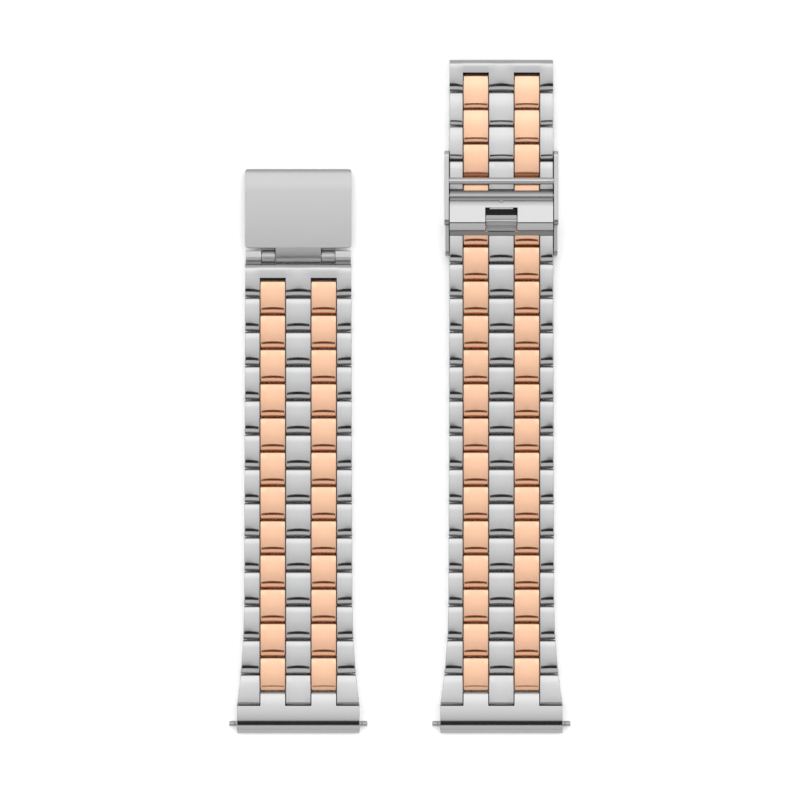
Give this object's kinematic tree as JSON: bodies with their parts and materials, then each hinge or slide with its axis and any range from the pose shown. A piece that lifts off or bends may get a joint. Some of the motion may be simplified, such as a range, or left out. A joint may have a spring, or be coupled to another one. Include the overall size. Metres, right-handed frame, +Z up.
{
  "type": "watch strap",
  "caption": "Two-tone steel and rose gold link strap in two halves, for 20 mm lugs, with sprung bars, a hinged cover with hook, and a sliding clasp with lock lever.",
  "frame": {"origin": "on the surface under the strap, midway between the two halves and midway along the longer half", "axes": "+X across the strap to the long half, +Y from the spring bars to the clasp, +Z up through the outer faces"},
  "size_m": [0.0546, 0.1078, 0.005],
  "materials": {
    "steel": "polished steel",
    "two_tone": "polished steel with two rose gold plated columns",
    "rose_gold": "polished rose gold plate, on the two inner columns",
    "satin_steel": "satin",
    "plain_steel": "plain drawn"
  },
  "bodies": {
    "watch_side": {"short_end_link": "steel", "short_bar_tube": "plain_steel", "short_bar_spring": "plain_steel", "long_end_link": "steel", "long_bar_tube": "plain_steel", "long_bar_spring": "plain_steel"},
    "short_bar_plunger_left": {"short_bar_plunger_left": "plain_steel"},
    "short_bar_plunger_right": {"short_bar_plunger_right": "plain_steel"},
    "long_bar_plunger_left": {"long_bar_plunger_left": "plain_steel"},
    "long_bar_plunger_right": {"long_bar_plunger_right": "plain_steel"},
    "short_link_01": {"short_link_01": "two_tone"},
    "short_link_02": {"short_link_02": "two_tone"},
    "short_link_03": {"short_link_03": "two_tone"},
    "short_link_04": {"short_link_04": "two_tone"},
    "short_link_05": {"short_link_05": "two_tone"},
    "short_link_06": {"short_link_06": "two_tone"},
    "short_link_07": {"short_link_07": "two_tone"},
    "short_link_08": {"short_link_08": "two_tone"},
    "short_link_09": {"short_link_09": "two_tone"},
    "short_link_10": {"short_link_10": "two_tone"},
    "short_link_11": {"short_link_11": "two_tone"},
    "short_link_12": {"short_link_12": "two_tone"},
    "clasp_end": {"clasp_end_link": "steel", "cover_pin": "plain_steel"},
    "clasp_cover": {"clasp_cover": "satin_steel"},
    "clasp_hook": {"clasp_hook": "steel"},
    "long_link_01": {"long_link_01": "two_tone"},
    "long_link_02": {"long_link_02": "two_tone"},
    "long_link_03": {"long_link_03": "two_tone"},
    "long_link_04": {"long_link_04": "two_tone"},
    "long_link_05": {"long_link_05": "two_tone"},
    "long_link_06": {"long_link_06": "two_tone"},
    "long_link_07": {"long_link_07": "two_tone"},
    "long_link_08": {"long_link_08": "two_tone"},
    "long_link_09": {"long_link_09": "two_tone"},
    "long_link_10": {"long_link_10": "two_tone"},
    "long_link_11": {"long_link_11": "two_tone"},
    "long_link_12": {"long_link_12": "two_tone"},
    "long_link_13": {"long_link_13": "two_tone"},
    "sliding_clasp": {"long_link_14": "two_tone", "long_link_15": "two_tone", "long_link_16": "two_tone", "clasp_frame": "steel", "crossbar": "steel", "lever_pin": "plain_steel"},
    "lock_lever": {"lock_lever": "steel"},
    "long_link_17": {"long_link_17": "two_tone"},
    "long_link_18": {"long_link_18": "two_tone"},
    "tail_end": {"tail_end_link": "steel"}
  },
  "joints": [
    {"name": "short_bar_left_press", "type": "slide", "parent": "watch_side", "child": "short_bar_plunger_left", "axis": [1, 0, 0], "range_m": [0, 0.0012], "stiffness_N_per_m": 1000, "springref_m": -0.0006, "deforming": ["short_bar_spring"]},
    {"name": "short_bar_right_press", "type": "slide", "parent": "watch_side", "child": "short_bar_plunger_right", "axis": [-1, 0, 0], "range_m": [0, 0.0012], "stiffness_N_per_m": 1000, "springref_m": -0.0006, "deforming": ["short_bar_spring"]},
    {"name": "long_bar_left_press", "type": "slide", "parent": "watch_side", "child": "long_bar_plunger_left", "axis": [1, 0, 0], "range_m": [0, 0.0012], "stiffness_N_per_m": 1000, "springref_m": -0.0006, "deforming": ["long_bar_spring"]},
    {"name": "long_bar_right_press", "type": "slide", "parent": "watch_side", "child": "long_bar_plunger_right", "axis": [-1, 0, 0], "range_m": [0, 0.0012], "stiffness_N_per_m": 1000, "springref_m": -0.0006, "deforming": ["long_bar_spring"]},
    {"name": "short_hinge_01", "type": "hinge", "parent": "watch_side", "child": "short_link_01", "pos_m": [-0.01625, -0.04857, 0.00125], "axis": [-1, 0, 0], "range_deg": [-10, 18]},
    {"name": "short_hinge_02", "type": "hinge", "parent": "short_link_01", "child": "short_link_02", "pos_m": [-0.01625, -0.04309, 0.00125], "axis": [-1, 0, 0], "range_deg": [-10, 18]},
    {"name": "short_hinge_03", "type": "hinge", "parent": "short_link_02", "child": "short_link_03", "pos_m": [-0.01625, -0.03761, 0.00125], "axis": [-1, 0, 0], "range_deg": [-10, 18]},
    {"name": "short_hinge_04", "type": "hinge", "parent": "short_link_03", "child": "short_link_04", "pos_m": [-0.01625, -0.03213, 0.00125], "axis": [-1, 0, 0], "range_deg": [-10, 18]},
    {"name": "short_hinge_05", "type": "hinge", "parent": "short_link_04", "child": "short_link_05", "pos_m": [-0.01625, -0.02665, 0.00125], "axis": [-1, 0, 0], "range_deg": [-10, 18]},
    {"name": "short_hinge_06", "type": "hinge", "parent": "short_link_05", "child": "short_link_06", "pos_m": [-0.01625, -0.02117, 0.00125], "axis": [-1, 0, 0], "range_deg": [-10, 18]},
    {"name": "short_hinge_07", "type": "hinge", "parent": "short_link_06", "child": "short_link_07", "pos_m": [-0.01625, -0.01569, 0.00125], "axis": [-1, 0, 0], "range_deg": [-10, 18]},
    {"name": "short_hinge_08", "type": "hinge", "parent": "short_link_07", "child": "short_link_08", "pos_m": [-0.01625, -0.01021, 0.00125], "axis": [-1, 0, 0], "range_deg": [-10, 18]},
    {"name": "short_hinge_09", "type": "hinge", "parent": "short_link_08", "child": "short_link_09", "pos_m": [-0.01625, -0.00473, 0.00125], "axis": [-1, 0, 0], "range_deg": [-10, 18]},
    {"name": "short_hinge_10", "type": "hinge", "parent": "short_link_09", "child": "short_link_10", "pos_m": [-0.01625, 0.00075, 0.00125], "axis": [-1, 0, 0], "range_deg": [-10, 18]},
    {"name": "short_hinge_11", "type": "hinge", "parent": "short_link_10", "child": "short_link_11", "pos_m": [-0.01625, 0.00623, 0.00125], "axis": [-1, 0, 0], "range_deg": [-10, 18]},
    {"name": "short_hinge_12", "type": "hinge", "parent": "short_link_11", "child": "short_link_12", "pos_m": [-0.01625, 0.01171, 0.00125], "axis": [-1, 0, 0], "range_deg": [-10, 18]},
    {"name": "short_hinge_13", "type": "hinge", "parent": "short_link_12", "child": "clasp_end", "pos_m": [-0.01625, 0.01719, 0.00125], "axis": [-1, 0, 0], "range_deg": [-10, 18]},
    {"name": "cover_hinge", "type": "hinge", "parent": "clasp_end", "child": "clasp_cover", "pos_m": [-0.01625, 0.02242, 0.00125], "axis": [1, 0, 0], "range_deg": [0, 100]},
    {"name": "hook_hinge", "type": "hinge", "parent": "clasp_end", "child": "clasp_hook", "pos_m": [-0.01625, 0.02242, 0.00125], "axis": [1, 0, 0], "range_deg": [-80, 0]},
    {"name": "long_hinge_01", "type": "hinge", "parent": "watch_side", "child": "long_link_01", "pos_m": [0.01625, -0.04857, 0.00125], "axis": [-1, 0, 0], "range_deg": [-10, 18]},
    {"name": "long_hinge_02", "type": "hinge", "parent": "long_link_01", "child": "long_link_02", "pos_m": [0.01625, -0.04309, 0.00125], "axis": [-1, 0, 0], "range_deg": [-10, 18]},
    {"name": "long_hinge_03", "type": "hinge", "parent": "long_link_02", "child": "long_link_03", "pos_m": [0.01625, -0.03761, 0.00125], "axis": [-1, 0, 0], "range_deg": [-10, 18]},
    {"name": "long_hinge_04", "type": "hinge", "parent": "long_link_03", "child": "long_link_04", "pos_m": [0.01625, -0.03213, 0.00125], "axis": [-1, 0, 0], "range_deg": [-10, 18]},
    {"name": "long_hinge_05", "type": "hinge", "parent": "long_link_04", "child": "long_link_05", "pos_m": [0.01625, -0.02665, 0.00125], "axis": [-1, 0, 0], "range_deg": [-10, 18]},
    {"name": "long_hinge_06", "type": "hinge", "parent": "long_link_05", "child": "long_link_06", "pos_m": [0.01625, -0.02117, 0.00125], "axis": [-1, 0, 0], "range_deg": [-10, 18]},
    {"name": "long_hinge_07", "type": "hinge", "parent": "long_link_06", "child": "long_link_07", "pos_m": [0.01625, -0.01569, 0.00125], "axis": [-1, 0, 0], "range_deg": [-10, 18]},
    {"name": "long_hinge_08", "type": "hinge", "parent": "long_link_07", "child": "long_link_08", "pos_m": [0.01625, -0.01021, 0.00125], "axis": [-1, 0, 0], "range_deg": [-9, 19]},
    {"name": "long_hinge_09", "type": "hinge", "parent": "long_link_08", "child": "long_link_09", "pos_m": [0.01625, -0.00473, 0.00133], "axis": [-1, 0, 0], "range_deg": [-10, 18]},
    {"name": "long_hinge_10", "type": "hinge", "parent": "long_link_09", "child": "long_link_10", "pos_m": [0.01625, 0.00075, 0.00142], "axis": [-1, 0, 0], "range_deg": [-10, 18]},
    {"name": "long_hinge_11", "type": "hinge", "parent": "long_link_10", "child": "long_link_11", "pos_m": [0.01625, 0.00623, 0.0015], "axis": [-1, 0, 0], "range_deg": [-10, 18]},
    {"name": "long_hinge_12", "type": "hinge", "parent": "long_link_11", "child": "long_link_12", "pos_m": [0.01625, 0.01171, 0.00158], "axis": [-1, 0, 0], "range_deg": [-10, 18]},
    {"name": "long_hinge_13", "type": "hinge", "parent": "long_link_12", "child": "long_link_13", "pos_m": [0.01625, 0.01719, 0.00167], "axis": [-1, 0, 0], "range_deg": [-10, 18]},
    {"name": "long_hinge_14", "type": "hinge", "parent": "long_link_13", "child": "sliding_clasp", "pos_m": [0.01625, 0.02267, 0.00175], "axis": [-1, 0, 0], "range_deg": [-11, 17]},
    {"name": "lever_hinge", "type": "hinge", "parent": "sliding_clasp", "child": "lock_lever", "pos_m": [0.01625, 0.03207, 0.004], "axis": [-1, 0, 0], "range_deg": [0, 100]},
    {"name": "long_hinge_17", "type": "hinge", "parent": "sliding_clasp", "child": "long_link_17", "pos_m": [0.01625, 0.03911, 0.00175], "axis": [-1, 0, 0], "range_deg": [-13, 15]},
    {"name": "long_hinge_18", "type": "hinge", "parent": "long_link_17", "child": "long_link_18", "pos_m": [0.01625, 0.04458, 0.0015], "axis": [-1, 0, 0], "range_deg": [-10, 18]},
    {"name": "long_hinge_19", "type": "hinge", "parent": "long_link_18", "child": "tail_end", "pos_m": [0.01625, 0.05006, 0.00125], "axis": [-1, 0, 0], "range_deg": [-7, 21]}
  ]
}
